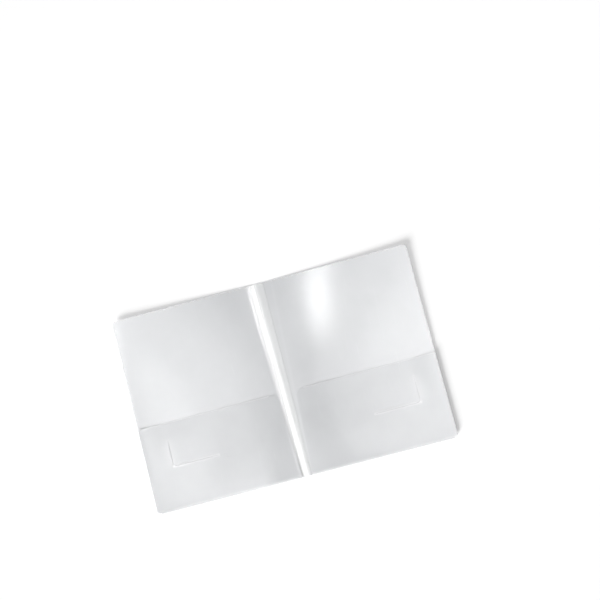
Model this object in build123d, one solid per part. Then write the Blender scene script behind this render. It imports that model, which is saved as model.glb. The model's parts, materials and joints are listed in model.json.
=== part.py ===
from build123d import *
import os
from math import sqrt

# A two-pocket folder of frosted plastic sheet, lying open and flat with its inside up.
# The origin is on the table under the middle of the spine. +X runs across the folder to the back
# cover's fore edge, +Y runs up to the head, and +Z is up. All sizes are in millimetres.

# Covers and spine
COVER_WIDTH = 228.6  # from the crease line to the fore edge
COVER_HEIGHT = 304.8  # from the foot to the head
COVER_CORNER_RADIUS = 6.0
SPINE_WIDTH = 14.0  # from crease line to crease line
SHEET_THICKNESS = 0.5

# Creases: a groove pressed into the inside of the sheet leaves a thin web that bends
CREASE_WEB = 0.25
CREASE_FOLD_ROOM = 0.225  # between the groove's two edges when the crease is folded square
CREASE_WEB_CLEARANCE = 0.06  # between the web and the cover's edge that swings past it

# Pockets
POCKET_HEIGHT = 132.0  # from the foot to the mouth
POCKET_GAP = 1.2  # between the cover and the pocket sheet
POCKET_FOOT_SETBACK = 1.0  # from the cover's crease edge to the pocket, at the foot
POCKET_MOUTH_SETBACK = 7.0  # the same at the mouth, so the inner edge slants
POCKET_CORNER_RADIUS = 12.0
WELD_WIDTH = 4.0
BEND_CLEARANCE = 0.2  # along each line where the pocket sheet bends

# Card slit: an L-shaped cut that takes the corner of a card, and leaves a tongue that bends
SLIT_WIDTH = 1.0
SLIT_LENGTH = 71.0
SLIT_RISE = 41.0
SLIT_CORNER_RADIUS = 6.0
SLIT_FROM_FORE_EDGE = 41.0
SLIT_TO_BEND = 3.0  # how far the slit's nearer end stays below the pocket's bend line

# Lines and levels that follow from those sizes, for the back cover's side
crease_x = SPINE_WIDTH / 2
crease_z = CREASE_WEB / 2
crease_half_width = SHEET_THICKNESS - crease_z + CREASE_FOLD_ROOM
cover_inner_x = crease_x + crease_half_width
spine_edge_x = crease_x - crease_half_width
fore_edge_x = crease_x + COVER_WIDTH
foot_y = -COVER_HEIGHT / 2
mouth_y = foot_y + POCKET_HEIGHT
pocket_floor_z = SHEET_THICKNESS + POCKET_GAP
pocket_top_z = pocket_floor_z + SHEET_THICKNESS
fold_radius = pocket_top_z / 2
fold_y = foot_y + fold_radius
fold_end_x = fore_edge_x - COVER_CORNER_RADIUS
pocket_foot_x = cover_inner_x + POCKET_FOOT_SETBACK
pocket_mouth_x = cover_inner_x + POCKET_MOUTH_SETBACK
weld_x = fore_edge_x - WELD_WIDTH
bend_foot = Vector(pocket_foot_x, fold_y, pocket_floor_z)
bend_mouth = Vector(weld_x, mouth_y, pocket_floor_z)
bend_along = (bend_mouth - bend_foot).normalized()
bend_lift_side = Vector(-bend_along.Y, bend_along.X, 0)


def bend_y(x):
    """How far up the folder the pocket's bend line is at a place across it."""
    return bend_foot.Y + (x - bend_foot.X) * bend_along.Y / bend_along.X


# The slit lies as high as its nearer end allows, so that no bend runs into the cut
slit_outer_x = fore_edge_x - SLIT_FROM_FORE_EDGE
slit_inner_x = slit_outer_x - SLIT_LENGTH
slit_y = min(bend_y(slit_inner_x), bend_y(slit_outer_x) - SLIT_RISE) - SLIT_WIDTH / 2 - SLIT_TO_BEND
slit_head_y = slit_y + SLIT_RISE
tongue_foot = Vector(slit_inner_x, slit_y, pocket_floor_z)
tongue_head = Vector(slit_outer_x, slit_head_y, pocket_floor_z)
tongue_along = (tongue_head - tongue_foot).normalized()
tongue_free_side = Vector(tongue_along.Y, -tongue_along.X, 0)


def plate(x_low, x_high, y_low, y_high, z_low, z_high):
    """A rectangular plate between two corners."""
    size = (x_high - x_low, y_high - y_low, z_high - z_low)
    return Pos(x_low, y_low, z_low) * Box(*size, align=(Align.MIN, Align.MIN, Align.MIN))


def sheet_outline():
    """The cover's plan: square at the crease, rounded at both corners of the fore edge."""
    width = fore_edge_x - cover_inner_x
    plan = Pos(cover_inner_x + width / 2, 0) * Rectangle(width, COVER_HEIGHT)
    return fillet(plan.vertices().group_by(Axis.X)[-1], COVER_CORNER_RADIUS)


def fold_strip():
    """The strip along the foot that the fold takes up, out of the cover and the pocket alike."""
    corner = (Align.MIN, Align.MIN)
    return Pos(pocket_foot_x, foot_y) * Rectangle(fold_end_x - pocket_foot_x, fold_radius, align=corner)


def pocket_outline():
    """The pocket's plan: the cover's own outline below the mouth, with a slanting inner edge."""
    corners = (
        (pocket_foot_x, foot_y),
        (fore_edge_x, foot_y),
        (fore_edge_x, mouth_y),
        (pocket_mouth_x, mouth_y),
    )
    plan = Polygon(*corners, align=None)
    free_corner = plan.vertices().sort_by_distance((pocket_mouth_x, mouth_y, 0))[0]
    plan = fillet(free_corner, POCKET_CORNER_RADIUS)
    return (plan & sheet_outline()) - fold_strip()


def card_slit():
    """The L-shaped slit's plan: along the foot side of the card, then up its outer side."""
    corners = ((slit_inner_x, slit_y), (slit_outer_x, slit_y), (slit_outer_x, slit_head_y))
    cut = trace(FilletPolyline(*corners, radius=SLIT_CORNER_RADIUS), SLIT_WIDTH)
    round_end = Circle(SLIT_WIDTH / 2)
    return cut + Pos(*corners[0]) * round_end + Pos(*corners[-1]) * round_end


def tongue_outline():
    """The triangle that the slit sets free: two sides on the slit, and a third that it bends on."""
    plan = Polygon((slit_inner_x, slit_y), (slit_outer_x, slit_y), (slit_outer_x, slit_head_y), align=None)
    slit_corner = plan.vertices().sort_by_distance((slit_outer_x, slit_y, 0))[0]
    return fillet(slit_corner, SLIT_CORNER_RADIUS)


def pocket_sheet(plan):
    """A flat piece of the pocket sheet, at its height over the cover."""
    return extrude(Pos(0, 0, pocket_floor_z) * plan, SHEET_THICKNESS)


def make_cover():
    """One cover panel, notched along the foot where the fold begins."""
    return extrude(sheet_outline() - fold_strip(), SHEET_THICKNESS)


def make_pocket_halves():
    """The pocket sheet in two halves, held and free, on either side of its bend line."""
    sheet = pocket_sheet(pocket_outline() - card_slit() - tongue_outline())
    bend_plane = Plane(origin=bend_foot, x_dir=bend_along, z_dir=bend_lift_side)
    held = split(sheet, bisect_by=bend_plane.offset(-BEND_CLEARANCE / 2), keep=Keep.BOTTOM)
    free = split(sheet, bisect_by=bend_plane.offset(BEND_CLEARANCE / 2), keep=Keep.TOP)
    return held, free


def make_tongue():
    """The tongue inside the slit, clear of the held half along the line that it bends on."""
    sheet = pocket_sheet(tongue_outline() - card_slit())
    bend_plane = Plane(origin=tongue_foot, x_dir=tongue_along, z_dir=tongue_free_side)
    return split(sheet, bisect_by=bend_plane.offset(BEND_CLEARANCE), keep=Keep.TOP)


def make_fold():
    """The creased fold along the foot: a half-round edge that joins the cover to its pocket."""
    length = fold_end_x - pocket_foot_x
    ends = (Align.CENTER, Align.CENTER, Align.MIN)
    rod = Pos(pocket_foot_x, fold_y, fold_radius) * Rot(Y=90) * Cylinder(fold_radius, length, align=ends)
    return rod & plate(pocket_foot_x, fold_end_x, foot_y, fold_y, 0, pocket_top_z)


def make_weld():
    """The seam that fixes the pocket's outer end to the cover, above the rounded corner."""
    seam_foot_y = foot_y + COVER_CORNER_RADIUS
    return plate(weld_x, fore_edge_x, seam_foot_y, mouth_y, SHEET_THICKNESS, pocket_floor_z)


def make_crease():
    """The living hinge's web: it starts on the spine's edge and stays inside the cover's swing."""
    swing_radius = crease_half_width - CREASE_WEB_CLEARANCE
    reach = sqrt(swing_radius**2 - crease_z**2)
    return plate(spine_edge_x, crease_x + reach, foot_y, -foot_y, 0, CREASE_WEB)


def make_spine():
    """The strip between the two creases."""
    return plate(-spine_edge_x, spine_edge_x, foot_y, -foot_y, 0, SHEET_THICKNESS)


pocket_held, pocket_free = make_pocket_halves()
back_pieces = {
    "cover": make_cover(),
    "crease": make_crease(),
    "pocket_panel": pocket_held,
    "pocket_mouth": pocket_free,
    "card_tongue": make_tongue(),
    "pocket_fold": make_fold(),
    "pocket_weld": make_weld(),
}

os.makedirs("parts", exist_ok=True)
export_step(make_spine(), "parts/spine.step")
for name, piece in back_pieces.items():
    export_step(piece, f"parts/back_{name}.step")
    export_step(mirror(piece, about=Plane.YZ), f"parts/front_{name}.step")

# What the joints need: the crease lines, the bend lines and the room for both pockets in a closed folder
closed_room = SPINE_WIDTH + 2 * (crease_z - pocket_top_z)
free_corner = Vector(pocket_mouth_x, mouth_y, pocket_floor_z)
mouth_lever = (free_corner - bend_foot).dot(bend_lift_side)
tongue_corner = Vector(slit_outer_x, slit_y, pocket_floor_z)
tongue_lever = (tongue_corner - tongue_foot).dot(tongue_free_side)
print(f"crease lines at x = {crease_x:.3f} and {-crease_x:.3f}, z = {crease_z:.3f}")
print(f"mouth's bend line from {tuple(bend_foot)} along {tuple(bend_along)}, lever {mouth_lever:.2f}")
print(f"tongue's bend line from {tuple(tongue_foot)} along {tuple(tongue_along)}, lever {tongue_lever:.2f}")
print(f"room between the two pockets when closed: {closed_room:.2f}")
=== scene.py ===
# %% [markdown]
# # A two-pocket folder of clear frosted sheet
# The folder lies open on a pale table, seen almost from above. On the real one a single sheet of
# polypropylene is cut, creased twice beside the spine, turned up along the foot into two pockets and
# welded at their outer ends. Here each stretch of that sheet is a thin shell of its own, built over the
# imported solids, so that it can follow the body it belongs to.

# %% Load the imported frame
import json
from math import pi, radians

import bmesh
import bpy
import numpy as np
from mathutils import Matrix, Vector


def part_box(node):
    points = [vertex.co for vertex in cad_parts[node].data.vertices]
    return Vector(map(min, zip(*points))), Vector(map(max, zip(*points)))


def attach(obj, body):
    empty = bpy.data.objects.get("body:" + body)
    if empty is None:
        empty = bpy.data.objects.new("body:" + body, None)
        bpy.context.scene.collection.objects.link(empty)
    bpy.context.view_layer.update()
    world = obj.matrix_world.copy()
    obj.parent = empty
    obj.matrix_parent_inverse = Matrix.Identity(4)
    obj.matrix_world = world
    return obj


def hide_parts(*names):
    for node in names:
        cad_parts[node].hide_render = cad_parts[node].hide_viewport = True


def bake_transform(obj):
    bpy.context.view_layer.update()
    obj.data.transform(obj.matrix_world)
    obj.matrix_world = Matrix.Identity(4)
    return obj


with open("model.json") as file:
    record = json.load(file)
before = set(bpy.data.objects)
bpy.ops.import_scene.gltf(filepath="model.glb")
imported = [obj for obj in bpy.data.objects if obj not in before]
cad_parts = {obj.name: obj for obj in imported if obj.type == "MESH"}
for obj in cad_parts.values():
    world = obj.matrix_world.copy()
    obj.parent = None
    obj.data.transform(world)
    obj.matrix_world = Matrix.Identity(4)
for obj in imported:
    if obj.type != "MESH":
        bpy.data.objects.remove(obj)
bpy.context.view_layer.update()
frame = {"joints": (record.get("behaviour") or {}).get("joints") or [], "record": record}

# %% [markdown]
# ## Measures
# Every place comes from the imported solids: their boxes, the joints' lines and the mounts. They could be
# typed in again as numbers, but then a change of the part would leave the looks behind. Only what no box
# tells is written here: the radii, the slit's width and how far a pocket's mouth stands back from the
# crease. All measures are for the back cover's side, at +X. The front side is its mirror image.

# %% Read the folder's measures
MM = 0.001
COVER_CORNER = 6 * MM
POCKET_CORNER = 12 * MM
POCKET_SETBACK = 7 * MM
SLIT_WIDTH = 1 * MM
SLIT_CORNER = 6 * MM
SIDES = {"back": 1, "front": -1}

cover_low, cover_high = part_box("back_cover")
fold_low, fold_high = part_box("back_pocket_fold")
weld_low, weld_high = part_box("back_pocket_weld")
joints = {joint["name"]: joint for joint in frame["joints"]}
mounts = {mount["name"]: mount for mount in frame["record"]["mounts"]}

sheet = cover_high.z
inner_x, fore_x = cover_low.x, cover_high.x
foot_y, head_y = cover_low.y, cover_high.y
spine_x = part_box("spine")[1].x
crease_x = joints["spine_fold"]["pos_m"][0]
web = 2 * joints["spine_fold"]["pos_m"][2]
fold_inner_x, fold_end_x = fold_low.x, fold_high.x
fold_y, mouth_y = fold_high.y, weld_high.y
mouth_inner_x = inner_x + POCKET_SETBACK
pocket_z = (weld_high.z + fold_high.z) / 2
slit_inner_x, slit_y, _ = joints["back_tongue_bend"]["pos_m"]
slit_outer_x = mounts["back_card_slit"]["pos_m"][0]
tongue_axis = joints["back_tongue_bend"]["axis"]
slit_slope = tongue_axis[1] / tongue_axis[0]
slit_head_y = slit_y + (slit_outer_x - slit_inner_x) * slit_slope
half_slit = SLIT_WIDTH / 2
print(f"cover {fore_x - inner_x:.4f} by {head_y - foot_y:.4f} m, sheet {sheet / MM:.2f} mm")
print(f"slit {slit_outer_x - slit_inner_x:.4f} by {slit_head_y - slit_y:.4f} m")

# %% [markdown]
# ## How the sheet lies
# A sheet that has been bent at a crease never lies quite flat: it rises from the crease, arches a little
# across the cover, and its free edges curl up by a few millimetres, which is why a soft shadow shows
# along them. Each piece could be bent by a modifier, but then their gaps would change. One height
# function serves everything on a cover instead, so that pocket, weld and cover stay together.

# %% The height of the sheet over the table
LIE = {
    "back": {"arch": 1.2 * MM, "fore": 3.8 * MM, "head": 2.8 * MM, "roll": 0},
    "front": {"arch": 1.4 * MM, "fore": 1.0 * MM, "head": 4.4 * MM, "roll": 0.3 * MM},
}
ARCH_AT_FOOT, FORE_AT_FOOT = 0.45, 0.7
FORE_POWER, HEAD_POWER, HEAD_GROWTH = 3, 4, 2
ROLL_WIDTH = (5 * MM, 13 * MM)


def smooth(low, high, value):
    """A smooth step: 0 up to low, 1 from high, and 3t^2 - 2t^3 between."""
    t = np.clip((value - low) / (high - low), 0, 1)
    return t * t * (3 - 2 * t)


def between(ends, share):
    """From the first of two values to the second in a straight line."""
    return ends[0] + (ends[1] - ends[0]) * share


def way_up(along):
    """0 at the foot and 1 at the head."""
    return (along - foot_y) / (head_y - foot_y)


def lie(across, along, side):
    """Height over the flat solids: half a sine wave across the cover, a cube of the way to the fore edge,
    a fourth power of the way to the head that grows with the square of the way from the crease, and a
    smooth step up beside the crease, which widens towards the head and fades out to the fore edge. The
    sine wave and the cube are lower at the foot."""
    amount = LIE[side]
    u = np.clip((across - inner_x) / (fore_x - inner_x), 0, 1)
    v = np.clip(way_up(along), 0, 1)
    arch = amount["arch"] * np.sin(pi * u) * between((ARCH_AT_FOOT, 1), v)
    fore = amount["fore"] * u**FORE_POWER * between((FORE_AT_FOOT, 1), v)
    head = amount["head"] * v**HEAD_POWER * u**HEAD_GROWTH
    step = smooth(0, between(ROLL_WIDTH, v), across - inner_x)
    return arch + fore + head + step * amount["roll"] * (1 - u)


for side in SIDES:
    corner = lie(np.array([fore_x]), np.array([head_y]), side)[0]
    print(f"{side} cover's head corner stands {corner / MM:.1f} mm off the table")

# %% [markdown]
# ## From a surface to a thin shell
# Each sheet starts as its middle surface, a grid of points worked out as arrays. Solidify then gives it
# the sheet's thickness, with a second material on the cut edges. It could stay a live modifier, but the
# sheets that bend at a joint need their final points, so it is applied here. A crease or weld is a closed
# section carried along a path instead, whose two ends are filled.

# %% Helpers that make the pieces
SHARP_ANGLE = radians(40)
SEAM = 0.005 * MM


def grid_quads(rows, columns, wrap=False):
    """The quads of a grid of points; with wrap, the last column joins the first."""
    number = np.arange(rows * columns).reshape(rows, columns)
    if wrap:
        number = np.concatenate([number, number[:, :1]], axis=1)
    corners = [number[:-1, :-1], number[:-1, 1:], number[1:, 1:], number[1:, :-1]]
    return np.stack(corners, axis=-1).reshape(-1, 4)


def new_object(name, points, quads, side):
    """A mesh object from points and quads, mirrored to the front side where it belongs there."""
    sign = SIDES.get(side, 1)
    turned = points * (sign, 1, 1)
    order = quads if sign > 0 else quads[:, ::-1]
    mesh = bpy.data.meshes.new(name)
    mesh.from_pydata(turned.tolist(), [], order.tolist())
    piece = bpy.data.objects.new(name, mesh)
    bpy.context.scene.collection.objects.link(piece)
    return piece


def store(piece, name, values):
    """Keeps one number for each point, which the materials read by name."""
    attribute = piece.data.attributes.new(name, "FLOAT", "POINT")
    attribute.data.foreach_set("value", values.astype(np.float32))


def smooth_faces(piece):
    """Smooth shading, except across edges that turn by more than the sharp angle."""
    piece.data.shade_smooth()
    piece.data.set_sharp_from_angle(angle=SHARP_ANGLE)
    print(f"{piece.name}: {len(piece.data.polygons)} faces")


def make_shell(piece, thickness, materials):
    """Gives the middle surface its thickness, the sheet's material and that of its cut edges."""
    for material in materials:
        piece.data.materials.append(material)
    shell = piece.modifiers.new("thickness", "SOLIDIFY")
    shell.thickness = thickness
    shell.offset = 0
    shell.material_offset_rim = len(materials) - 1
    graph = bpy.context.evaluated_depsgraph_get()
    solid = bpy.data.meshes.new_from_object(piece.evaluated_get(graph))
    piece.modifiers.clear()
    flat = piece.data
    piece.data = solid
    bpy.data.meshes.remove(flat)
    solid.name = piece.name
    smooth_faces(piece)


def join_seams(piece):
    """Merges points that lie on each other, where two grids of one sheet meet."""
    work = bmesh.new()
    work.from_mesh(piece.data)
    bmesh.ops.remove_doubles(work, verts=work.verts, dist=SEAM)
    work.to_mesh(piece.data)
    work.free()


def close_section(piece, material):
    """Fills both ends of a carried section, turns its faces outwards and gives it its material."""
    work = bmesh.new()
    work.from_mesh(piece.data)
    bmesh.ops.holes_fill(work, edges=[edge for edge in work.edges if edge.is_boundary])
    bmesh.ops.recalc_face_normals(work, faces=work.faces)
    work.to_mesh(piece.data)
    work.free()
    piece.data.materials.append(material)
    smooth_faces(piece)


# %% [markdown]
# ## Finish of the sheet
# Frosted polypropylene is a milky sheet with a satin shine, a very fine grain, faint scuffs from paper
# sliding over it, and white marks where it was bent or cut. The same white marks also carry painted
# highlights and painted light. The milkiness could be real glass with scattering inside, but at half a
# millimetre a see-through share of a pale surface looks much the same, renders clean and exports well.
# The grain, clouding, scuffs and white marks are node groups that all the finishes share.

# %% Helpers for shader nodes
def add_node(tree, kind, **values):
    """A node with its settings and its unlinked inputs set by name."""
    node = tree.nodes.new(kind)
    for name, value in values.items():
        if name in node.inputs:
            node.inputs[name].default_value = value
        else:
            setattr(node, name, value)
    return node


def new_group(name, inputs, outputs):
    """An empty shader node group with named number inputs and outputs."""
    group = bpy.data.node_groups.new(name, "ShaderNodeTree")
    for socket, value in inputs.items():
        made = group.interface.new_socket(socket, in_out="INPUT", socket_type="NodeSocketFloat")
        made.default_value = value
    for socket in outputs:
        group.interface.new_socket(socket, in_out="OUTPUT", socket_type="NodeSocketFloat")
    start = group.nodes.new("NodeGroupInput")
    end = group.nodes.new("NodeGroupOutput")
    return group, start, end


def maths(tree, operation, first, second):
    """One sum; each side is a socket or a number."""
    node = add_node(tree, "ShaderNodeMath", operation=operation)
    for socket, value in zip(node.inputs, (first, second)):
        if isinstance(value, (int, float)):
            socket.default_value = value
        else:
            tree.links.new(value, socket)
    return node.outputs[0]


def spread(tree, value, low_high, to_low_high):
    """Maps a value from one range to another, held at the ends."""
    node = add_node(tree, "ShaderNodeMapRange", clamp=True)
    for name, number in zip(("From Min", "From Max", "To Min", "To Max"), (*low_high, *to_low_high)):
        node.inputs[name].default_value = number
    tree.links.new(value, node.inputs["Value"])
    return node.outputs["Result"]


def add_noise(tree, place, **values):
    """Noise at a place that a socket gives."""
    noise = add_node(tree, "ShaderNodeTexNoise", **values)
    tree.links.new(place, noise.inputs["Vector"])
    return noise


# %% The shader groups of the sheet
NOISE_RANGE = (0.3, 0.7)
SCUFF_LEVEL, SCUFF_FADE = 0.64, 0.12
# For each direction of scuffs its turn in degrees, and the noise's fineness along the three axes
SCUFFS = ((84, (700, 22, 1)), (-9, (520, 16, 1)))
BREAK_UP = (0.94, 1.04)


def make_grain_group():
    """Fine grain for the bump and slow clouding for the milkiness, from noise at two sizes."""
    group, start, end = new_group("sheet grain", {"Fineness": 1500.0}, ["Height", "Cloud"])
    place = add_node(group, "ShaderNodeTexCoord").outputs["Object"]
    fine = add_noise(group, place, Detail=2.0, Roughness=0.6)
    group.links.new(start.outputs["Fineness"], fine.inputs["Scale"])
    cloud = add_noise(group, place, Scale=14.0, Detail=3.0, Roughness=0.55)
    group.links.new(fine.outputs["Fac"], end.inputs["Height"])
    group.links.new(cloud.outputs["Fac"], end.inputs["Cloud"])
    return group


def make_scuff_group():
    """Faint long scuffs in two directions: noise stretched some thirty times, cut off at a level."""
    group, start, end = new_group("paper scuffs", {"Level": SCUFF_LEVEL}, ["Mask"])
    place = add_node(group, "ShaderNodeTexCoord").outputs["Object"]
    masks = []
    for turn, stretch in SCUFFS:
        mapping = add_node(group, "ShaderNodeMapping", Rotation=(0, 0, radians(turn)), Scale=stretch)
        group.links.new(place, mapping.inputs["Vector"])
        noise = add_noise(group, mapping.outputs["Vector"], Scale=1.0, Detail=3.0, Roughness=0.5)
        over = maths(group, "SUBTRACT", noise.outputs["Fac"], start.outputs["Level"])
        masks.append(spread(group, over, (0, SCUFF_FADE), (0, 1)))
    group.links.new(maths(group, "MAXIMUM", *masks), end.inputs["Mask"])
    return group


def make_whitening_group():
    """White marks, broken up by a small noise: real stress whitening, and painted highlights and painted
    light.
    """
    group, start, end = new_group("stress whitening", {"Worn": 0.0, "Amount": 1.0}, ["Mask"])
    place = add_node(group, "ShaderNodeTexCoord").outputs["Object"]
    noise = add_noise(group, place, Scale=420.0, Detail=3.0)
    uneven = spread(group, noise.outputs["Fac"], NOISE_RANGE, BREAK_UP)
    broken = maths(group, "MULTIPLY", start.outputs["Worn"], uneven)
    amount = maths(group, "MULTIPLY", broken, start.outputs["Amount"])
    group.links.new(spread(group, amount, (0, 1), (0, 1)), end.inputs["Mask"])
    return group


grain_group = make_grain_group()
scuff_group = make_scuff_group()
whitening_group = make_whitening_group()
print("shader groups:", grain_group.name, "|", scuff_group.name, "|", whitening_group.name)

# %% [markdown]
# ## The six finishes
# Cover and pocket are the same sheet, but the pocket's tint is a little darker: painted shade for the two
# layers that lie over each other. The creases and the spine are duller and whiten more, because they were
# pressed and worked, the weld is lighter where two layers melted together, and a cut edge gathers light
# and looks nearly white. One function makes them all: each names its tint, its milkiness, its satin and
# how strongly its white marks show. The white marks are partly real whitening and partly painted
# highlights and painted light. Where a sheet is marked white or rubbed dull could be painted on a
# picture. Here the points of a piece carry a number for each, which the materials read. A piece that is
# nowhere rubbed dull has no such number, and the materials then read 0.

# %% Make the finishes
SPECULAR_LEVEL = 1.0
GRAIN_DEPTH, GRAIN_STRENGTH = 0.012 * MM, 0.35
CLOUDING = 0.02
SCUFF_MILK, SCUFF_SATIN = 0.03, 0.12
RUBBED_SATIN = 0.09
WEAR_AND_HIGHLIGHT_WHITE, WEAR_AND_HIGHLIGHT_MILK = (0.97, 0.975, 0.98, 1), 0.96
# A Mix node has sockets of the same name for each kind of data, so its colour sockets are found by number
MIX_FIRST, MIX_SECOND, MIX_RESULT = 6, 7, 2


def plus(tree, value, mask, amount):
    """The value plus the mask times the amount."""
    return maths(tree, "ADD", value, maths(tree, "MULTIPLY", mask, amount))


def make_sheet_finish(name, tint, milk, satin, whitening):
    """A frosted sheet: milk is the share of each face that isn't see-through, satin its roughness."""
    material = bpy.data.materials.new(name)
    material.use_nodes = True
    tree = material.node_tree
    shader = tree.nodes["Principled BSDF"]
    shader.inputs["Specular IOR Level"].default_value = SPECULAR_LEVEL
    grain = add_node(tree, "ShaderNodeGroup", node_tree=grain_group)
    scuffs = add_node(tree, "ShaderNodeGroup", node_tree=scuff_group)
    # The white marks mix the tint to white: real whitening where the sheet was cut, folded or pressed, and
    # painted highlights and painted light elsewhere.
    marks = add_node(tree, "ShaderNodeGroup", node_tree=whitening_group, Amount=whitening)
    worn = add_node(tree, "ShaderNodeAttribute", attribute_name="worn")
    rubbed = add_node(tree, "ShaderNodeAttribute", attribute_name="rubbed")
    tree.links.new(worn.outputs["Fac"], marks.inputs["Worn"])

    colour = add_node(tree, "ShaderNodeMix", data_type="RGBA")
    tree.links.new(marks.outputs["Mask"], colour.inputs["Factor"])
    colour.inputs[MIX_FIRST].default_value = (*tint, 1)
    colour.inputs[MIX_SECOND].default_value = WEAR_AND_HIGHLIGHT_WHITE
    tree.links.new(colour.outputs[MIX_RESULT], shader.inputs["Base Color"])

    cloudy = spread(tree, grain.outputs["Cloud"], NOISE_RANGE, (milk - CLOUDING, milk + CLOUDING))
    scuffed = plus(tree, cloudy, scuffs.outputs["Mask"], SCUFF_MILK)
    room = maths(tree, "SUBTRACT", WEAR_AND_HIGHLIGHT_MILK, scuffed)
    tree.links.new(plus(tree, scuffed, room, marks.outputs["Mask"]), shader.inputs["Alpha"])

    uneven = spread(tree, grain.outputs["Cloud"], NOISE_RANGE, (satin - CLOUDING, satin + CLOUDING))
    roughness = plus(tree, uneven, scuffs.outputs["Mask"], SCUFF_SATIN)
    tree.links.new(plus(tree, roughness, rubbed.outputs["Fac"], RUBBED_SATIN), shader.inputs["Roughness"])

    bump = add_node(tree, "ShaderNodeBump", Strength=GRAIN_STRENGTH, Distance=GRAIN_DEPTH)
    tree.links.new(grain.outputs["Height"], bump.inputs["Height"])
    tree.links.new(bump.outputs["Normal"], shader.inputs["Normal"])
    return material


# For each finish its tint, milkiness, satin and whitening
FINISHES = {
    "frosted cover sheet": ((0.68, 0.69, 0.707), 0.62, 0.115, 0.9),
    # The pocket's tint is darker than the cover's: painted shade for the two layers that lie over each other
    "frosted pocket sheet": ((0.644, 0.654, 0.671), 0.62, 0.115, 0.9),
    "worked spine strip": ((0.68, 0.69, 0.7), 0.6, 0.2, 1.0),
    "pressed crease": ((0.68, 0.69, 0.7), 0.64, 0.24, 1.0),
    "welded seam": ((0.88, 0.89, 0.9), 0.55, 0.3, 0.8),
    "cut edge": ((0.86, 0.87, 0.88), 0.7, 0.3, 0.5),
}
finishes = {name: make_sheet_finish(name, *values) for name, values in FINISHES.items()}
cover_finish, shaded_pocket_finish, spine_finish, crease_finish, weld_finish, edge_finish = finishes.values()
print("finishes:", ", ".join(finishes))

# %% [markdown]
# ## Painted highlights on the covers
# A white band beside the front crease, which leaves the spine towards the head, is a painted highlight
# for the shine along that crease. A faint painted highlight line runs beside the back crease, and on the
# inside of each cover a faint line of painted light, just beyond the pocket's mouth, lightens the shadow
# that the mouth's edge throws. They could be noise, but they follow the folder's own lines, so they are
# bells across those lines.

# %% Where the covers carry painted highlights
BAND_PLACE = (0.6 * MM, 12.1 * MM)
BAND_HALF_WIDTH = (4.3 * MM, 6.9 * MM)
BAND_POWER, BAND_HIGHLIGHT = 2.5, 0.91
LINE_PLACE = (7.0 * MM, 20.0 * MM)
LINE_HALF_WIDTH, LINE_HIGHLIGHT = 2.2 * MM, 0.04
MOUTH_LINE_PLACE, MOUTH_LINE_WIDTH, MOUTH_LINE_LIGHT = 1.3 * MM, 1.4 * MM, 0.15


def bell(offset):
    """A bell curve, exp(-d^2)."""
    return np.exp(-(offset**2))


def crease_highlight_band(across, along):
    """The painted highlight beside the front crease: a white band, a bell with a flat top, exp(-d^2.5),
    whose place and width grow in a straight line from the foot to the head."""
    up = way_up(along)
    offset = (across - between(BAND_PLACE, up)) / between(BAND_HALF_WIDTH, up)
    return np.exp(-(np.abs(offset) ** BAND_POWER))


def back_crease_highlight(across, along):
    """The painted highlight line beside the back crease: a narrow bell that leaves the crease towards the
    head.
    """
    return bell((across - between(LINE_PLACE, way_up(along))) / LINE_HALF_WIDTH)


def side_highlight(across, along, side):
    """The painted highlights that a side's cover, crease and pocket share."""
    if side == "front":
        return BAND_HIGHLIGHT * crease_highlight_band(across, along)
    return LINE_HIGHLIGHT * back_crease_highlight(across, along)


def mouth_painted_light(across, along):
    """Painted light on the cover that lightens the shadow of the pocket's mouth: a narrow bell just beyond
    the mouth, which a smooth step starts at the mouth's rounded corner."""
    line = bell((along - mouth_y - MOUTH_LINE_PLACE) / MOUTH_LINE_WIDTH)
    return MOUTH_LINE_LIGHT * line * smooth(mouth_inner_x, mouth_inner_x + POCKET_CORNER, across)


print("white band's half width in mm, foot and head:", [round(width / MM, 1) for width in BAND_HALF_WIDTH])

# %% [markdown]
# ## Covers
# A cover is a panel with two rounded corners at its fore edge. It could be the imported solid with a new
# finish, but that is a flat plate of a few large triangles. A grid of rows and columns, whose rows end on
# the rounded outline, can rise and curl.

# %% Build the covers
COVER_ROWS, COVER_COLUMNS = 120, 140
MOUTH_ROWS = np.linspace(-1, 4, 11) * MM
COLUMN_CROWDING = 0.5


def cover_surface(side):
    """Rows run up the cover at cosine spacing, with a few more at the pocket's mouth; each runs from the
    crease to the fore edge, whose corners are quarter circles, with columns that lie closer together near
    the crease."""
    t = np.linspace(0, 1, COVER_ROWS)
    spaced = fold_y + (head_y - fold_y) * (0.5 - 0.5 * np.cos(pi * t))
    along = np.sort(np.concatenate([spaced, mouth_y + MOUTH_ROWS]))
    into_corner = np.maximum(np.abs(along) - (head_y - COVER_CORNER), 0)
    row_end = fore_x - COVER_CORNER + np.sqrt(np.maximum(COVER_CORNER**2 - into_corner**2, 0))
    s = np.linspace(0, 1, COVER_COLUMNS)
    share = s * between((COLUMN_CROWDING, 1), s)
    across = inner_x + (row_end[:, None] - inner_x) * share
    along = np.broadcast_to(along[:, None], across.shape)
    height = sheet / 2 + lie(across, along, side)
    return np.stack([across, along, height], axis=-1).reshape(-1, 3)


def upper_side(piece, middle):
    """True for points on a shell's upper side. Solidify keeps the middle surface's order on both
    sides."""
    places = np.empty(3 * len(piece.data.vertices))
    piece.data.vertices.foreach_get("co", places)
    return places[2::3] > np.tile(middle[:, 2], 2)


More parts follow.
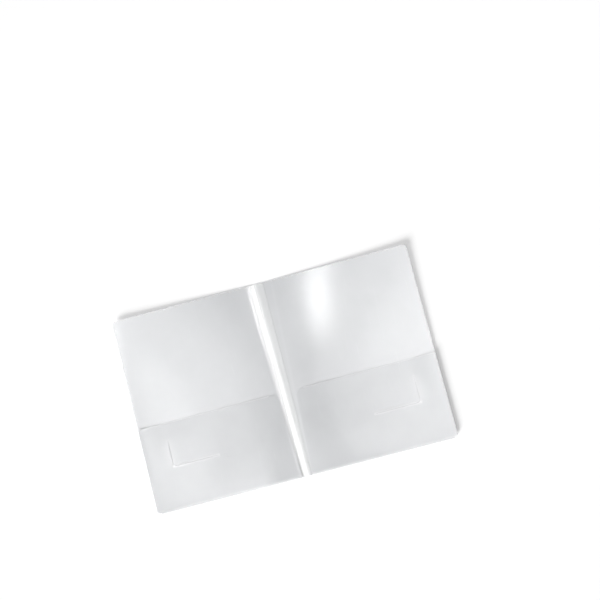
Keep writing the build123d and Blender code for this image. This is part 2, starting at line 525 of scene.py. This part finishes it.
for side in SIDES:
    points = cover_surface(side)
    quads = grid_quads(COVER_ROWS + MOUTH_ROWS.size, COVER_COLUMNS)
    cover = new_object(f"{side}_cover_sheet", points, quads, side)
    make_shell(cover, sheet, (cover_finish, edge_finish))
    # Both faces carry the side's painted highlights, and the cover's inside also the painted light beyond
    # the pocket's mouth
    inside_painted_light = np.tile(mouth_painted_light(points[:, 0], points[:, 1]), 2) * upper_side(cover, points)
    worn = np.tile(side_highlight(points[:, 0], points[:, 1], side), 2) + inside_painted_light
    store(cover, "worn", np.clip(worn, 0, 1))
    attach(cover, f"{side}_cover")
    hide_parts(f"{side}_cover")

# %% [markdown]
# ## Spine and creases
# The spine is the strip between the two creases. It is whiter towards the head, and the painted highlight
# beside the front crease runs over it. Because the creases pull on it, it stands up in a low arch. Each
# crease is a groove with a thin web at its bottom, which is all that bends.

# %% Build the spine
SPINE_ROWS, SPINE_COLUMNS = 90, 24
SPINE_ARCH = 0.3 * MM
SPINE_WHITENING = (0.02, 0.1)


def spine_surface():
    """A parabola across the strip, the same from the foot to the head."""
    x = np.linspace(-spine_x, spine_x, SPINE_COLUMNS)
    across, along = np.meshgrid(x, np.linspace(foot_y, head_y, SPINE_ROWS))
    arch = SPINE_ARCH * (1 - (across / spine_x) ** 2)
    return np.stack([across, along, sheet / 2 + arch], axis=-1).reshape(-1, 3)


points = spine_surface()
spine = new_object("spine_strip", points, grid_quads(SPINE_ROWS, SPINE_COLUMNS), "middle")
# Whiter towards the head, plus the painted highlight beside the front crease
worn = between(SPINE_WHITENING, way_up(points[:, 1])) + side_highlight(-points[:, 0], points[:, 1], "front")
store(spine, "worn", np.clip(worn, 0, 1))
make_shell(spine, sheet, (spine_finish, edge_finish))
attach(spine, "spine")
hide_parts("spine")

# %% Build the creases
CREASE_COLUMNS = 13
CREASE_WEAR = 0.02


def crease_surface():
    """The groove's section, carried along the crease: flat below, and above it a parabola that leaves the
    sheet's thickness at both sides and the web's in the middle. The section is a closed loop."""
    t = np.linspace(-1, 1, CREASE_COLUMNS)
    across = crease_x + (inner_x - crease_x) * t
    top = web + (sheet - web) * t**2
    loop_x = np.concatenate([across, across[::-1]])
    loop_z = np.concatenate([np.zeros(CREASE_COLUMNS), top[::-1]])
    along = np.linspace(foot_y, head_y, SPINE_ROWS)
    x = np.broadcast_to(loop_x, (SPINE_ROWS, loop_x.size))
    z = np.broadcast_to(loop_z, (SPINE_ROWS, loop_z.size))
    y = np.broadcast_to(along[:, None], x.shape)
    return np.stack([x, y, z], axis=-1).reshape(-1, 3), loop_x.size


for side, sign in SIDES.items():
    points, loop = crease_surface()
    crease = new_object(f"{side}_crease_web", points, grid_quads(SPINE_ROWS, loop, wrap=True), side)
    close_section(crease, crease_finish)
    # Each crease carries the painted highlight of its side
    store(crease, "worn", CREASE_WEAR + side_highlight(points[:, 0], points[:, 1], side))
    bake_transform(crease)
    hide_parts(f"{side}_crease")

# %% [markdown]
# ## Pockets
# A pocket is the part of the sheet that is turned up along the foot. Its inner edge slants away from the
# spine and ends in a rounded corner, and a fine L-shaped slit for a card is cut in it. A flat grid can't
# go round the slit, so this one is a ring: its inner loop runs round the slit and the tongue, its outer
# loop round the pocket, and straight lines join them.

# %% Helpers for the pocket's outlines
def path(corners, counts):
    """Points along straight runs: each run has its own count, and its end belongs to the next run."""
    runs = [
        np.linspace(start, end, count, endpoint=False)
        for start, end, count in zip(corners[:-1], corners[1:], counts)
    ]
    return np.concatenate(runs)


def arc(centre, radii, start, end, count):
    """Points on part of an ellipse between two angles, without the last one."""
    angle = np.linspace(start, end, count, endpoint=False)
    return np.stack([centre[0] + radii[0] * np.cos(angle), centre[1] + radii[1] * np.sin(angle)], axis=-1)


def along_path(points, count):
    """The same line with evenly spaced points, without the last one."""
    steps = np.linalg.norm(np.diff(points, axis=0), axis=1)
    reached = np.concatenate([[0], np.cumsum(steps)])
    wanted = np.linspace(0, reached[-1], count, endpoint=False)
    return np.stack([np.interp(wanted, reached, points[:, axis]) for axis in (0, 1)], axis=-1)


# %% The two loops of the pocket
FOOT_POINTS, CORNER_POINTS, FORE_POINTS, MOUTH_POINTS, END_POINTS = 130, 16, 76, 230, 8
ROUND_POINTS = 24


def slit_loop():
    """The cut edge outside the slit, its two round ends, and the line that the tongue bends on."""
    bottom, right = slit_y - half_slit, slit_outer_x + half_slit
    bend = SLIT_CORNER + half_slit
    head_end, foot_end = np.array([slit_outer_x, slit_head_y]), np.array([slit_inner_x, slit_y])
    lean = np.arctan2(slit_head_y - slit_y, slit_outer_x - slit_inner_x)
    along_line = half_slit * np.array([np.cos(lean), np.sin(lean)])
    level = path([(slit_inner_x, bottom), (right - bend, bottom)], [FOOT_POINTS])
    corner = arc((right - bend, bottom + bend), (bend, bend), -pi / 2, 0, CORNER_POINTS)
    upright = path([(right, bottom + bend), (right, slit_head_y)], [FORE_POINTS])
    first_end = arc(head_end, (half_slit, half_slit), 0, pi + lean, END_POINTS)
    tongue_line = path([head_end - along_line, foot_end + along_line], [MOUTH_POINTS - 2 * END_POINTS])
    last_end = arc(foot_end, (half_slit, half_slit), lean, 3 * pi / 2, END_POINTS)
    return np.concatenate([level, corner, upright, first_end, tongue_line, last_end])


def pocket_loop():
    """The foot, the outer corner, the fore edge, then the mouth, its rounded corner and the slanting
    inner edge."""
    foot = path([(fold_inner_x, fold_y), (fold_end_x, fold_y)], [FOOT_POINTS])
    corner_y = foot_y + COVER_CORNER
    radii = (fore_x - fold_end_x, corner_y - fold_y)
    corner = arc((fold_end_x, corner_y), radii, -pi / 2, 0, CORNER_POINTS)
    fore = path([(fore_x, corner_y), (fore_x, mouth_y)], [FORE_POINTS])
    slant = np.array([fold_inner_x - mouth_inner_x, fold_y - mouth_y])
    slant = slant / np.linalg.norm(slant)
    free_corner = np.array([mouth_inner_x, mouth_y])
    toward_fore = np.array([1.0, 0.0])
    opening = np.arccos(slant @ toward_fore)
    cut = POCKET_CORNER / np.tan(opening / 2)
    middle = (slant + toward_fore) / np.linalg.norm(slant + toward_fore)
    centre = free_corner + middle * POCKET_CORNER / np.sin(opening / 2)
    sweep = np.linspace(pi / 2, pi / 2 + pi - opening, ROUND_POINTS)
    rounded = centre + POCKET_CORNER * np.stack([np.cos(sweep), np.sin(sweep)], axis=-1)
    line = np.concatenate([[(fore_x, mouth_y)], [free_corner + cut * toward_fore], rounded,
                           [free_corner + cut * slant], [(fold_inner_x, fold_y)]])
    return np.concatenate([foot, corner, fore, along_path(line, MOUTH_POINTS)])


inside, outside = slit_loop(), pocket_loop()
print("pocket loops:", len(inside), "points round the slit and", len(outside), "round the pocket")

# %% [markdown]
# ## How a pocket lies
# The fold and the weld hold a pocket's sheet off its cover, and between them it sinks on to it, most of
# all at the mouth. It could be a flat plate at one distance, as the solids are, but then the mouth would
# throw a dark line. A few smooth forms on top of the cover's own height let it rest instead.

# %% How the pocket's sheet lies
GAPE, GAPE_PLACE, GAPE_WIDTH, GAPE_DEPTH = 0.1 * MM, 70 * MM, 34 * MM, 0.6
LIP, LIP_WIDTH = 0.15 * MM, 9 * MM
LIP_START, LIP_END = (-12 * MM, 6 * MM), (-8 * MM, 0)
DROOP = 1.15 * MM
WELD_REACH, SPINE_REACH, FOLD_REACH = 40 * MM, 60 * MM, 30 * MM
SPINE_REST = {"back": 0.2, "front": 0.65}
FOLD_PRESS = 0.85


def pocket_height(across, along, side):
    """The sheet's height: the cover's, plus a swelling at the mouth and a low lip outside the slit's
    upright leg, less a droop towards the mouth and the spine, where the sheet rests on the cover. The
    swelling is a bell along the mouth that fades out with a cosine towards the foot, and the lip falls
    off as exp(-d). The droop is one smooth step up from the fold, which the weld holds off, joined to one
    beside the spine, where each side rests by its own share and the fold itself is pressed flat."""
    depth = np.clip((mouth_y - along) / (GAPE_DEPTH * (mouth_y - fold_y)), 0, 1)
    swelling = GAPE * bell((across - GAPE_PLACE) / GAPE_WIDTH) * (0.5 + 0.5 * np.cos(pi * depth))
    started = smooth(slit_y + LIP_START[0], slit_y + LIP_START[1], along)
    ended = smooth(slit_head_y + LIP_END[0], slit_head_y + LIP_END[1], along)
    beyond = across - slit_outer_x
    lip = LIP * np.where(beyond > 0, np.exp(-beyond / LIP_WIDTH), 0) * started * (1 - ended)
    off_weld = 1 - smooth(weld_low.x - WELD_REACH, weld_low.x, across)
    off_mouth = 1 - smooth(fold_y, mouth_y, along) * off_weld
    by_spine = SPINE_REST[side] * (1 - smooth(fold_inner_x, fold_inner_x + SPINE_REACH, across))
    off_spine = 1 - by_spine * between((FOLD_PRESS, 1), smooth(fold_y, fold_y + FOLD_REACH, along))
    return pocket_z + lie(across, along, side) + swelling + lip - DROOP * (1 - off_mouth * off_spine)


for side in SIDES:
    place = (np.array([fore_x / 2]), np.array([mouth_y]), side)
    underside = pocket_height(*place)[0] - sheet / 2
    cover_top = lie(*place)[0] + sheet
    print(f"{side} pocket's mouth leaves a gap of {(underside - cover_top) / MM:.2f} mm")

# %% [markdown]
# ## White marks and painted highlights on the pockets
# Folding has whitened the foot. The white lines along the slit's legs and the soft white patch beside its
# upright leg are painted highlights, and the white along the mouth's cut edge is painted light for the
# edge's glow, which also lightens the shadow the edge throws. The outer half of the mouth is rubbed dull.
# One noise over all could stand for that, but each mark has its own place, so each is worked out from the
# slit, the fold or the mouth.

# %% Where the pocket is marked
LEVEL_MARK, UPRIGHT_MARK, MARK_WIDTH = 0.42, 0.1, 2.0 * MM
SHEEN_MARK, SHEEN_WIDTH, SHEEN_OFFSET = 0.12, 10 * MM, 1 * MM
FOLD_MARK, FOLD_MARK_WIDTH = 0.5, 1.6 * MM
MOUTH_EDGE_LIGHT = 0.45
MOUTH_RUB_REACH, MOUTH_RUB_PLACE, MOUTH_RUB_WIDTH = 70 * MM, 168 * MM, 45 * MM


def slit_highlight(across, along):
    """Painted highlights of the slit: a thin bell across each leg, and a wide soft painted sheen along the
    upright leg; smooth steps end that one just beyond the leg's ends."""
    level_x = np.clip(across, slit_inner_x, slit_outer_x)
    upright_y = np.clip(along, slit_y, slit_head_y)
    to_level = np.hypot(across - level_x, along - slit_y)
    to_upright = np.hypot(across - slit_outer_x, along - upright_y)
    lines = LEVEL_MARK * bell(to_level / MARK_WIDTH) + UPRIGHT_MARK * bell(to_upright / MARK_WIDTH)
    started = smooth(slit_y - SHEEN_WIDTH, slit_y + SHEEN_WIDTH, along)
    ended = smooth(slit_head_y - SHEEN_WIDTH, slit_head_y + SHEEN_WIDTH, along)
    sheen = SHEEN_MARK * bell((across - slit_outer_x - SHEEN_OFFSET) / SHEEN_WIDTH)
    return lines + sheen * started * (1 - ended)


def pocket_wear_and_highlight(across, along):
    """The slit's painted highlights, and a white bell along the fold at the foot, where folding whitened it.
    """
    return slit_highlight(across, along) + FOLD_MARK * bell((along - fold_y) / FOLD_MARK_WIDTH)


def mouth_rub(across, along):
    """How dull the sheet is rubbed: a bell along the mouth, times a smooth step up to it."""
    along_mouth = bell((across - MOUTH_RUB_PLACE) / MOUTH_RUB_WIDTH)
    return along_mouth * smooth(mouth_y - MOUTH_RUB_REACH, mouth_y, along)


dull_width, dull_depth = 2 * MOUTH_RUB_WIDTH / MM, MOUTH_RUB_REACH / MM
print(f"dull patch: {dull_width:.0f} mm along the mouth, {dull_depth:.0f} mm down from it")

# %% [markdown]
# ## Ring and fold
# The half-round fold along the foot is a second grid. It could be a piece of its own, but a seam would
# show, so it starts on the ring's own foot points, and the two are merged when the pocket is built.

# %% The pocket's grids
POCKET_RINGS, RING_CROWDING = 52, 1.5
FOLD_STEPS = 12


def pocket_surface(side):
    """Ring points go in a straight line from the slit's loop to the pocket's, closer together near the
    slit. The fold's points go half round a circle from the pocket's foot to the cover's."""
    t = np.linspace(0, 1, POCKET_RINGS)[:, None, None] ** RING_CROWDING
    flat = inside + (outside - inside) * t
    ring = np.dstack([flat, pocket_height(flat[..., 0], flat[..., 1], side)])
    foot_x = np.append(outside[:FOOT_POINTS, 0], fold_end_x)
    angle = np.linspace(pi / 2, -pi / 2, FOLD_STEPS)[:, None]
    middle = (pocket_z + sheet / 2) / 2
    radius = pocket_z - middle
    top = pocket_height(foot_x, np.full_like(foot_x, fold_y), side) - pocket_z
    low = lie(foot_x, np.full_like(foot_x, fold_y), side)
    share = (1 + np.sin(angle)) / 2
    fold_z = middle + radius * np.sin(angle) + low + (top - low) * share
    fold_along = np.broadcast_to(fold_y - radius * np.cos(angle), fold_z.shape)
    fold = np.dstack([np.broadcast_to(foot_x, fold_z.shape), fold_along, fold_z])
    return np.concatenate([ring.reshape(-1, 3), fold.reshape(-1, 3)])


def pocket_quads():
    """The ring's quads, then the fold's, with the fold's numbers after the ring's."""
    ring = grid_quads(POCKET_RINGS, len(inside), wrap=True)
    fold = grid_quads(FOLD_STEPS, FOOT_POINTS + 1)[:, ::-1]
    return np.concatenate([ring[:, ::-1], fold + POCKET_RINGS * len(inside)])


print("pocket grids:", len(pocket_quads()), "quads")

# %% [markdown]
# On the solids, the line that a pocket's mouth bends on is a sharp hinge.


for side in SIDES:
    points = pocket_surface(side)
    pocket = new_object(f"{side}_pocket_sheet", points, pocket_quads(), side)
    # Whitening at the fold, and the slit's and the side's painted highlights
    worn = pocket_wear_and_highlight(points[:, 0], points[:, 1]) + side_highlight(points[:, 0], points[:, 1], side)
    outer_ring = slice((POCKET_RINGS - 1) * len(inside), POCKET_RINGS * len(inside))
    # Painted light along the mouth's cut edge: it stands for the edge's glow and lightens the shadow that
    # the edge throws on the cover
    worn[outer_ring] += MOUTH_EDGE_LIGHT * (points[outer_ring, 1] > mouth_y - SEAM)
    store(pocket, "worn", np.clip(worn, 0, 1))
    store(pocket, "rubbed", mouth_rub(points[:, 0], points[:, 1]))
    join_seams(pocket)
    make_shell(pocket, sheet, (shaded_pocket_finish, edge_finish))
    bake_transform(pocket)
    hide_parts(*(f"{side}_pocket_{part}" for part in ("panel", "mouth", "fold")))

# %% [markdown]
# ## Card tongues
# The slit sets a three-cornered tongue free, which a card is laid on with two of its edges tucked under
# the sheet outside. It is the same sheet, and could be part of the pocket's grid, but it bends on a joint
# of its own. Straight lines from the line it bends on to the slit fill it, and its free corner is left a
# little proud, as a cut that has been used is.

# %% Build the tongues
TONGUE_STEPS, TONGUE_LINE, TONGUE_CORNER_POINTS = 22, 90, 14
TONGUE_PROUD = 0.4 * MM


def tongue_surface(side):
    """Straight lines from the bend line to the slit's inner edge, with a point at both ends where the two
    meet; the height grows with the square of the way."""
    bottom, right = slit_y + half_slit, slit_outer_x - half_slit
    bend = SLIT_CORNER - half_slit
    first = np.array([slit_inner_x + half_slit / slit_slope, bottom])
    last = np.array([right, slit_head_y - half_slit * slit_slope])
    corner = arc((right - bend, bottom + bend), (bend, bend), -pi / 2, 0, TONGUE_CORNER_POINTS)
    edge = np.concatenate([[first], corner, [(right, bottom + bend)], [last]])
    edge = np.append(along_path(edge, TONGUE_LINE - 1), [last], axis=0)
    line = first + (last - first) * np.linspace(0, 1, TONGUE_LINE)[:, None]
    t = np.linspace(0, 1, TONGUE_STEPS)[:, None, None]
    flat = line + (edge - line) * t
    reach = np.linalg.norm(edge - line, axis=1)
    proud = TONGUE_PROUD * (t[..., 0] * reach / reach.max()) ** 2
    return np.dstack([flat, pocket_height(flat[..., 0], flat[..., 1], side) + proud]).reshape(-1, 3)


for side in SIDES:
    points = tongue_surface(side)
    quads = grid_quads(TONGUE_STEPS, TONGUE_LINE)[:, ::-1]
    tongue = new_object(f"{side}_tongue_sheet", points, quads, side)
    # The tongue carries the slit's painted highlights
    store(tongue, "worn", slit_highlight(points[:, 0], points[:, 1]))
    store(tongue, "rubbed", mouth_rub(points[:, 0], points[:, 1]))
    join_seams(tongue)
    make_shell(tongue, sheet, (shaded_pocket_finish, edge_finish))
    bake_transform(tongue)
    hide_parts(f"{side}_card_tongue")

# %% [markdown]
# ## Welds
# The pocket's outer end is fixed by a seam, melted with a ribbed bar. It shows through the sheet as a
# lighter strip with fine cross ribs. The ribs could be a bump in the finish, but a wave in the section is
# in the mesh as well.

# %% Build the welds
WELD_RIB, WELD_RIB_DEPTH = 1.6 * MM, 0.12 * MM
WELD_ROWS_PER_RIB, WELD_COLUMNS = 6, 7
WELD_WEAR = 0.3


def weld_surface(side):
    """The seam's section, carried along the fore edge: a flat band whose top and bottom are drawn in by a
    cosine wave along the seam, one wave for each rib. The section is a closed loop of points."""
    rows = int((weld_high.y - weld_low.y) / WELD_RIB * WELD_ROWS_PER_RIB)
    along = np.linspace(weld_low.y, weld_high.y, rows)[:, None]
    across = np.linspace(weld_low.x, weld_high.x, WELD_COLUMNS)
    loop_x = np.concatenate([across, across[::-1]])
    half = (weld_high.z - weld_low.z) / 2
    drawn_in = WELD_RIB_DEPTH * (0.5 - 0.5 * np.cos(2 * pi * (along - weld_low.y) / WELD_RIB))
    level = np.repeat([-1.0, 1.0], WELD_COLUMNS)
    x = np.broadcast_to(loop_x, (rows, loop_x.size))
    y = np.broadcast_to(along, x.shape)
    z = (weld_low.z + half) + level * (half - drawn_in) + lie(x, y, side)
    return np.stack([x, y, z], axis=-1).reshape(-1, 3), rows, loop_x.size


for side in SIDES:
    points, rows, loop = weld_surface(side)
    weld = new_object(f"{side}_weld_seam", points, grid_quads(rows, loop, wrap=True), side)
    close_section(weld, weld_finish)
    store(weld, "worn", np.full(len(points), WELD_WEAR))
    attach(weld, f"{side}_cover")
    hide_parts(f"{side}_pocket_weld")

# %% [markdown]
# ## Table and camera
# The table is a plain white floor that keeps the folder's shadow. It could be lit until it is white, but
# that would bleach the folder, so it is lifted a little only where the camera, a mirror or glass sees it.
# The camera hangs about one and a half metres over the back cover, turned so that the folder's edges fall
# where the photo has them.

# %% Set the table and the camera
WHITE = (1, 1, 1, 1)
FLOOR_COLOUR = (0.97, 0.97, 0.97, 1)
FLOOR_SIZE = 6.0
FLOOR_DROP = 0.3 * MM
FLOOR_LIFT = 0.06
CAMERA_PLACE = (0.0988, -0.0722, 1.5371)
CAMERA_TURN = (6.179, 3.251, -14.597)
LENS, SENSOR = 60, 36


def seen(tree):
    """1 for what the camera, a mirror or glass sees, and 0 for the light that falls on things."""
    rays = add_node(tree, "ShaderNodeLightPath")
    mirrored = maths(tree, "MAXIMUM", rays.outputs["Is Camera Ray"], rays.outputs["Is Glossy Ray"])
    return maths(tree, "MAXIMUM", mirrored, rays.outputs["Is Transmission Ray"])


bpy.ops.mesh.primitive_plane_add(size=FLOOR_SIZE, location=(0, 0, -FLOOR_DROP))
floor = bpy.context.object
floor.name = "table"
floor_finish = bpy.data.materials.new("white table")
floor_finish.use_nodes = True
floor_tree = floor_finish.node_tree
floor_shader = floor_tree.nodes["Principled BSDF"]
floor_shader.inputs["Base Color"].default_value = FLOOR_COLOUR
floor_shader.inputs["Roughness"].default_value = 1.0
floor_shader.inputs["Specular IOR Level"].default_value = 0.0
floor_shader.inputs["Emission Color"].default_value = WHITE
floor_lift = maths(floor_tree, "MULTIPLY", seen(floor_tree), FLOOR_LIFT)
floor_tree.links.new(floor_lift, floor_shader.inputs["Emission Strength"])
floor.data.materials.append(floor_finish)

camera = bpy.data.objects.new("camera", bpy.data.cameras.new("camera"))
camera.data.lens = LENS
camera.data.sensor_width = SENSOR
camera.location = CAMERA_PLACE
camera.rotation_euler = [radians(angle) for angle in CAMERA_TURN]
bpy.context.scene.collection.objects.link(camera)
bpy.context.scene.camera = camera
bpy.context.scene.view_settings.view_transform = "Standard"
print(f"camera {CAMERA_PLACE[2]:.2f} m up with a {LENS} mm lens")

# %% [markdown]
# ## Light
# Three soft lamps hang over the folder, at the left, the right and the front. The sheet mirrors them on
# the outer half of each cover and along the foot, and stays darker beside the spine. A soft edge could be
# a texture on the lamp, but two or three ovals over each other give it with plain lamps. A narrow lamp
# gives the long highlight on the back cover, a low sun at the front left throws the soft shadow along the
# head and the back cover's fore edge, and a dim dome fills the rest.

# %% Hang the lamps
LAMP_HEIGHT, LAMP_STEP = 2.4, 0.01
# For each oval its place over the table, its size and its brightness, from the lowest up
SOFT_LAMPS = {
    "left soft lamp": (
        ((-0.68, -0.03), (0.34, 0.6), 2.1),
        ((-0.52, 0.06), (0.5, 0.76), 1.4),
        ((-0.455, 0.06), (0.6, 1.1), 2.1),
    ),
    "right soft lamp": (
        ((0.47, 0.04), (0.5, 0.36), 0.7),
        ((0.47, 0.06), (0.72, 0.6), 2.2),
        ((0.5, 0.06), (1.16, 0.94), 2.65),
    ),
    "front soft lamp": (
        ((-0.66, -0.32), (0.98, 0.28), 1.3),
        ((-0.36, -0.32), (1.9, 0.48), 2.0),
    ),
}
HIGHLIGHT_PLACE, HIGHLIGHT_SIZE = (-0.02, 0.39), (0.08, 0.36)
HIGHLIGHT_RADIANCE, HIGHLIGHT_DROP = 13.5, 0.05


def add_lamp(name, place, height, size, radiance):
    """An oval lamp that faces straight down, with the same brightness on its face whatever its size."""
    data = bpy.data.lights.new(name, "AREA")
    data.shape = "ELLIPSE"
    data.size, data.size_y = size
    area = size[0] * size[1] * pi / 4
    data.energy = radiance * pi * area
    lamp = bpy.data.objects.new(name, data)
    lamp.location = (*place, height)
    bpy.context.scene.collection.objects.link(lamp)


for name, steps in SOFT_LAMPS.items():
    for number, (place, size, radiance) in enumerate(steps):
        add_lamp(f"{name} {number}", place, LAMP_HEIGHT + LAMP_STEP * number, size, radiance)
add_lamp("highlight lamp", HIGHLIGHT_PLACE, LAMP_HEIGHT - HIGHLIGHT_DROP, HIGHLIGHT_SIZE, HIGHLIGHT_RADIANCE)

# %% Add the sun and the dome
KEY_STRENGTH = 4.4
KEY_SPREAD = 28
# How far the sun's light falls for each step to the right and to the back
KEY_FALL = 0.56
DOME_LIGHT = 0.17

key_data = bpy.data.lights.new("front left key", "SUN")
key_data.energy = KEY_STRENGTH
key_data.angle = radians(KEY_SPREAD)
key = bpy.data.objects.new("front left key", key_data)
key.rotation_euler = Vector((1, 1, -KEY_FALL)).to_track_quat("-Z", "Y").to_euler()
bpy.context.scene.collection.objects.link(key)

world = bpy.data.worlds.new("studio")
bpy.context.scene.world = world
world.use_nodes = True
tree = world.node_tree
background = tree.nodes["Background"]
background.inputs["Color"].default_value = WHITE
tree.links.new(spread(tree, seen(tree), (0, 1), (DOME_LIGHT, 1)), background.inputs["Strength"])
print(f"sun of strength {KEY_STRENGTH} and a dome of {DOME_LIGHT}")
